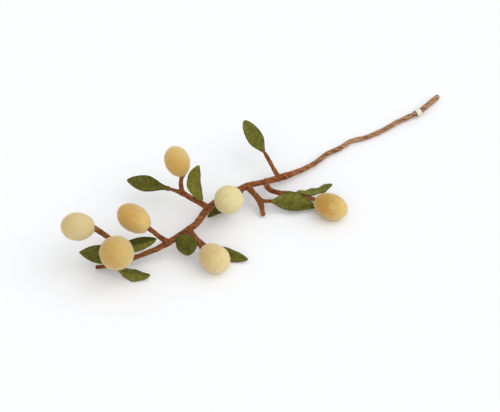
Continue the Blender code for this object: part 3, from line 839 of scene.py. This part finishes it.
def fibre_tree():
    """A tree that stands bent, tapering wool fibres on a surface and joins them to it."""
    tree, given = new_tree("loose_fibres", "GeometryNodeTree", {
        "Felt": "Geometry", "Fibres per square metre": "Float", "Length": "Float", "Width": "Float",
        "Seed": "Int", "Finish": "Material",
    }, ("Felt", "Geometry"))
    line = node(tree, "GeometryNodeCurveQuadraticBezier", {
        "Resolution": 2, "Start": (0, 0, -0.08), "Middle": (0.05, 0.12, 0.62), "End": (0.62, 0.0, 0.72),
    })
    along = node(tree, "GeometryNodeSplineParameter")
    taper = node(tree, "ShaderNodeMapRange", {"Value": along, "To Min": 1.0, "To Max": 0.3})
    slim = maths(tree, "DIVIDE", given["Width"], given["Length"])
    radius = maths(tree, "MULTIPLY", taper, slim)
    section = node(tree, "GeometryNodeCurvePrimitiveCircle", {"Resolution": 3, "Radius": 0.5})
    fibre = node(tree, "GeometryNodeCurveToMesh", {
        "Curve": line, "Profile Curve": section, "Scale": radius, "Fill Caps": True,
    })
    spots = node(tree, "GeometryNodeDistributePointsOnFaces", {
        "Mesh": given["Felt"], "Density": given["Fibres per square metre"], "Seed": given["Seed"],
    })
    lean = node(tree, "FunctionNodeRandomValue", {
        "Min": (-0.2, 0.1, 0.0), "Max": (0.2, 1.25, math.tau), "Seed": given["Seed"],
    }, data_type="FLOAT_VECTOR")
    turn = node(tree, "FunctionNodeEulerToRotation", {"Euler": lean})
    stand = node(tree, "FunctionNodeRotateRotation", {
        "Rotation": spots.outputs["Rotation"], "Rotate By": turn,
    }, rotation_space="LOCAL")
    grown = node(tree, "FunctionNodeRandomValue", {2: 0.45, 3: 1.4, "Seed": given["Seed"]})
    size = maths(tree, "MULTIPLY", grown.outputs[1], given["Length"])
    many = node(tree, "GeometryNodeInstanceOnPoints", {
        "Points": spots, "Instance": fibre, "Rotation": stand, "Scale": size,
    })
    real = node(tree, "GeometryNodeRealizeInstances", {"Geometry": many})
    both = node(tree, "GeometryNodeJoinGeometry")
    tree.links.new(real.outputs[0], both.inputs[0])
    tree.links.new(given["Felt"], both.inputs[0])
    dyed = node(tree, "GeometryNodeSetMaterial", {"Geometry": both, "Material": given["Finish"]})
    node(tree, "NodeGroupOutput", {0: dyed})
    return tree


def add_fibres(item, tree, density, length, seed):
    """Stands loose fibres on a piece, this many on each square millimetre and about this long."""
    grower = item.modifiers.new("fibres", "NODES")
    grower.node_group = tree
    values = {
        "Fibres per square metre": density / MM ** 2,
        "Length": length * MM,
        "Width": FIBRE_WIDTH * MM,
        "Seed": seed,
        "Finish": item.data.materials[0],
    }
    for socket in tree.interface.items_tree:
        if socket.name in values:
            grower[socket.identifier] = values[socket.name]
    apply_modifiers(item)
    set_points(item.data, points_of(item.data))


# Finishes


def screen(colour):
    """The colour that shows as these screen values, as the shaders take it."""
    parts = [part / 255 for part in colour]
    linear = [part / 12.92 if part <= 0.04045 else ((part + 0.055) / 1.055) ** 2.4 for part in parts]
    return (*linear, 1.0)


def add_wool_blend():
    """An effect: two dyed wools carded together in soft patches, with single fibres of each showing."""
    tree, given = new_tree("wool_blend", "ShaderNodeTree", {
        "Place": "Vector", "Patch": "Float", "Fleck": "Float", "Share": "Float", "Contrast": "Float",
        "Deep": "Color", "Light": "Color",
    }, ("Color", "Color"))
    patches = clouds(tree, given["Place"], given["Patch"], detail=3.0, distortion=0.6)
    flecks = clouds(tree, given["Place"], given["Fleck"], detail=2.0, distortion=2.5)
    mixed = maths(tree, "MULTIPLY_ADD", flecks, 0.8, patches)
    uneven = maths(tree, "SUBTRACT", mixed, 0.9)
    share = maths(tree, "MULTIPLY_ADD", uneven, given["Contrast"], given["Share"], use_clamp=True)
    node(tree, "NodeGroupOutput", {0: blended(tree, share, given["Deep"], given["Light"])})


def add_matted_fibres():
    """An effect: the height of matted fibres, which cross each other in three directions."""
    tree, given = new_tree("matted_fibres", "ShaderNodeTree", {
        "Place": "Vector", "Fineness": "Float",
    }, ("Height", "Float"))
    top = 0.0
    for stretch in ((0.18, 1.0, 1.0), (1.0, 0.18, 1.0), (1.0, 1.0, 0.18)):
        long_way = node(tree, "ShaderNodeVectorMath", {0: given["Place"], 1: stretch}, operation="MULTIPLY")
        strands = clouds(tree, long_way, given["Fineness"], detail=1.0, distortion=1.2)
        top = maths(tree, "MAXIMUM", strands, top)
    node(tree, "NodeGroupOutput", {0: top})


def add_painted_fibre_shade():
    """An effect: the colour of wool where its lower fibres, which less light reaches, are darker."""
    tree, given = new_tree("painted_fibre_shade", "ShaderNodeTree", {
        "Color": "Color", "Painted Shade": "Color", "Height": "Float", "Amount": "Float",
    }, ("Color", "Color"))
    lowness = node(tree, "ShaderNodeMapRange", {
        "Value": given["Height"], "From Min": 0.48, "From Max": 0.64,
        "To Min": given["Amount"], "To Max": 0.0,
    })
    node(tree, "NodeGroupOutput", {0: blended(tree, lowness, given["Color"], given["Painted Shade"])})


def effect(tree, name, inputs):
    """What the shader effect of this name gives for these inputs."""
    return node(tree, "ShaderNodeGroup", inputs, node_tree=bpy.data.node_groups[name]).outputs[0]


def new_material(name, values):
    """A new material, its tree, its shader with these values, and the piece's own coordinates."""
    made = bpy.data.materials.new(name)
    made.use_nodes = True
    tree = made.node_tree
    shader = tree.nodes["Principled BSDF"]
    for key, value in values.items():
        shader.inputs[key].default_value = value
    return made, tree, shader, node(tree, "ShaderNodeTexCoord").outputs["Object"]


def felt(name, sheen, tint=(255, 255, 255), roughness=0.95):
    """A new material for matt wool or cotton, with what new_material gives."""
    return new_material(name, {
        "Roughness": roughness, "Specular IOR Level": 0.15, "Sheen Weight": sheen, "Sheen Roughness": 0.45,
        "Sheen Tint": screen(tint),
    })


def attribute(tree, name, output="Fac"):
    """A socket with the piece's own stored values of that name."""
    return node(tree, "ShaderNodeAttribute", attribute_name=name).outputs[output]


def surface(tree, shader, colour, height, depth):
    """Gives the shader this colour, and this height, where 1 stands for that depth."""
    bump = node(tree, "ShaderNodeBump", {"Height": height, "Distance": depth * MM})
    tree.links.new(colour, shader.inputs["Base Color"])
    tree.links.new(bump.outputs[0], shader.inputs["Normal"])


def matted_surface(tree, shader, colour, low, height, pile):
    """Gives the shader matted wool of this colour, with painted shade of the second colour on its low fibres.
    """
    depth, amount = pile
    shaded = effect(tree, "painted_fibre_shade", {"Color": colour, "Painted Shade": low, "Height": height, "Amount": amount})
    surface(tree, shader, shaded, height, depth)


def lemon_felt(name):
    """Matted wool that goes from a lemon's first wool to its second across the fruit, a fade that is partly
    painted light and shade.
    """
    facts = LEMONS[name]
    made, tree, shader, place = felt(name + "_wool", 0.8, DYES["lemon_sheen"])
    colour = effect(tree, "wool_blend", {
        "Place": place, "Patch": 120.0, "Fleck": 640.0, "Share": attribute(tree, "pale_wool_and_light"), "Contrast": 1.4,
        "Deep": screen(facts.deep), "Light": screen(facts.pale),
    })
    height = effect(tree, "matted_fibres", {"Place": place, "Fineness": 2000.0})
    # colour of the painted shade on the lemon's lowest fibres
    low = screen([part * LEMON_FIBRE_SHADE for part in facts.deep])
    matted_surface(tree, shader, colour, low, height, LEMON_PILE)
    return made


def leaf_felt():
    """Mottled green wool, darker in the veins and along the rim (dark edge wool and painted shade of the
    thick edge), and brown where it meets the stalk.
    """
    made, tree, shader, place = felt("leaf_wool", 0.4, DYES["leaf_sheen"])
    deep, edge_and_shade_green = screen(DYES["leaf_deep"]), screen(DYES["leaf_edge_and_shade"])
    # the stored share of light wool also carries the painted shade on one half of some leaves
    green = effect(tree, "wool_blend", {
        "Place": place, "Patch": 260.0, "Fleck": 900.0, "Share": attribute(tree, "light"), "Contrast": 1.35,
        "Deep": deep, "Light": screen(DYES["leaf_light"]),
    })
    # darker rim: partly dark edge wool, partly painted shade where the thick felt edge turns from the light
    rim = node(tree, "ShaderNodeMapRange", {
        "Value": attribute(tree, "rim"), "From Min": 0.78, "From Max": 1.0, "To Max": 0.55,
    }, interpolation_type="SMOOTHSTEP")
    green_with_edge_shade = blended(tree, rim, green, edge_and_shade_green)
    veined = blended(tree, maths(tree, "MULTIPLY", attribute(tree, "vein"), 0.55), green_with_edge_shade, deep)
    bark = effect(tree, "wool_blend", {
        "Place": place, "Patch": 700.0, "Fleck": 5000.0, "Share": 0.4, "Contrast": 3.0,
        "Deep": screen(DYES["bark_deep"]), "Light": screen(DYES["bark_light"]),
    })
    torn = clouds(tree, place, 900.0, detail=2.0)
    edge = maths(tree, "ADD", attribute(tree, "collar"), torn)
    brown = node(tree, "ShaderNodeMapRange", {"Value": edge, "From Min": 0.95, "From Max": 1.3})
    colour = blended(tree, brown, veined, bark)
    height = effect(tree, "matted_fibres", {"Place": place, "Fineness": 1900.0})
    # painted shade on the low fibres goes to the rim green
    matted_surface(tree, shader, colour, edge_and_shade_green, height, LEAF_PILE)
    return made


def bark_wool():
    """Brown wool, combed and wrapped, so that its fibres wind along the stem; tan towards the cut end."""
    made, tree, shader, place = felt("bark_wool", 0.4, DYES["bark_sheen"])
    wrap = attribute(tree, "wrap", "Vector")
    wound = node(tree, "ShaderNodeVectorMath", {0: wrap, 1: (0.2, 1.0, 1.0)}, operation="MULTIPLY")
    sure = attribute(tree, "sure")
    deep, light = screen(DYES["bark_deep"]), screen(DYES["bark_light"])
    both = {
        "Share": attribute(tree, "light"), "Contrast": 3.5, "Deep": deep,
        "Light": blended(tree, attribute(tree, "tan"), light, screen(DYES["bark_tan"])),
    }
    wound_wool = effect(tree, "wool_blend", {"Place": wound, "Patch": 0.6, "Fleck": 4.4, **both})
    loose_wool = effect(tree, "wool_blend", {"Place": place, "Patch": 400.0, "Fleck": 3000.0, **both})
    height = node(tree, "ShaderNodeMix", {
        "Factor": sure,
        "A": effect(tree, "matted_fibres", {"Place": place, "Fineness": 2200.0}),
        "B": effect(tree, "matted_fibres", {"Place": wound, "Fineness": 3.2}),
    })
    colour = blended(tree, sure, loose_wool, wound_wool)
    # painted shade on the low fibres goes to the deep brown
    matted_surface(tree, shader, colour, deep, height, BARK_PILE)
    return made


def woven_tape():
    """Plain cotton tape: fine ribs one way and finer ones the other."""
    made, tree, shader, _ = felt("cotton_tape", 0.15, roughness=0.85)
    weave = attribute(tree, "weave", "Vector")
    ribs, weft = [
        node(tree, "ShaderNodeTexWave", {
            "Vector": weave, "Scale": scale, "Distortion": 0.4,
        }, bands_direction=way).outputs[1]
        for way, scale in {"X": 1.4, "Y": 2.2}.items()
    ]
    height = maths(tree, "MULTIPLY", ribs, weft)
    colour = blended(tree, height, screen(DYES["tape_shade"]), screen(DYES["tape"]))
    surface(tree, shader, colour, height, TAPE_RIBS)
    return made


def drawn_wire():
    """Bare steel wire with faint marks of the die along it."""
    made, tree, shader, place = new_material("drawn_wire", {"Metallic": 1.0})
    marks = clouds(tree, place, 900.0, detail=3.0)
    tone = blended(tree, marks, *[screen(grey) for grey in STEEL])
    tree.links.new(tone, shader.inputs["Base Color"])
    rough = node(tree, "ShaderNodeMapRange", {"Value": marks, "To Min": 0.3, "To Max": 0.55})
    tree.links.new(rough.outputs[0], shader.inputs["Roughness"])
    return made


# Surroundings


def camera():
    """Looks down on the branch from its front left."""
    level = math.cos(VIEW_RISE)
    back = Vector((math.sin(VIEW_TURN) * level, -math.cos(VIEW_TURN) * level, math.sin(VIEW_RISE)))
    item = linked("camera", bpy.data.cameras.new("camera"))
    item.data.lens = LENS
    right = Vector((math.cos(VIEW_TURN), math.sin(VIEW_TURN), 0))
    turn = Matrix((right, back.cross(right), back)).transposed()
    item.matrix_world = Matrix.Translation(AIM + back * VIEW_DISTANCE) @ turn.to_4x4()
    item.data.clip_end = 20
    bpy.context.scene.camera = item


def soft_light(name, way, strength):
    """Light from a wide disc of sky in this direction, which keeps the floor evenly lit."""
    lamp = bpy.data.lights.new(name, "SUN")
    lamp.angle = math.radians(LIGHT_SPREAD)
    lamp.energy = strength
    linked(name, lamp).matrix_world = Vector(way).to_track_quat("Z", "Y").to_matrix().to_4x4()


def studio():
    """A white floor in a white room, with soft light from the right and the front."""
    paint, *_ = new_material("white_floor", {
        "Base Color": (0.9, 0.9, 0.9, 1), "Roughness": 0.9, "Specular IOR Level": 0.1,
    })
    ways = ((-1, -1), (1, -1), (1, 1), (-1, 1))
    corners = [(x * FLOOR_REACH, y * FLOOR_REACH, -FLOOR_DROP) for x, y in ways]
    data = bpy.data.meshes.new("floor")
    data.from_pydata(corners, [], [(0, 1, 2, 3)])
    floor = placed("floor", data, paint)
    world = bpy.data.worlds.new("white_room")
    world.use_nodes = True
    sky = world.node_tree.nodes["Background"].inputs
    sky["Color"].default_value = (0.95, 0.97, 1.0, 1)
    sky["Strength"].default_value = 0.8
    bpy.context.scene.world = world
    for name, (way, strength) in LIGHTS.items():
        soft_light(name, way, strength)
    bpy.context.scene.view_settings.view_transform = "Standard"


def build():
    curves = {"stem": smooth(STEM, RING_STEP)}
    for name, route in {"spur": SPUR, **TWIGS}.items():
        parent = curves[GROWS_FROM.get(name, "stem")]
        curves[name] = smooth(rooted(route, parent), RING_STEP)
    add_wool_blend()
    add_matted_fibres()
    add_painted_fibre_shade()
    fibres = fibre_tree()
    pieces = []
    stem = wool_stem(curves, bark_wool())
    add_fibres(stem, fibres, *STEM_FIBRES, 1)
    pieces.append((stem, "stem", "felt_brown"))
    for seed, name in enumerate(LEMONS, 10):
        item = lemon(name, curves[name], lemon_felt(name))
        add_fibres(item, fibres, *LEMON_FIBRES, seed)
        pieces.append((item, name, "felt_" + LEMONS[name].dye))
    green = leaf_felt()
    for seed, name in enumerate(LEAVES, 30):
        item = leaf(name, curves[name], green)
        add_fibres(item, fibres, *LEAF_FIBRES, seed)
        pieces.append((item, name, "felt_green"))
    pieces.append((tape_loop(curves["stem"], woven_tape()), "tape_loop", "cotton_tape"))
    pieces.append((wire_core(curves, drawn_wire()), "wire_core", "steel_wire"))
    for item, node_name, slot in pieces:
        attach(item, "root")
        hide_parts(node_name)


build()
camera()
studio()
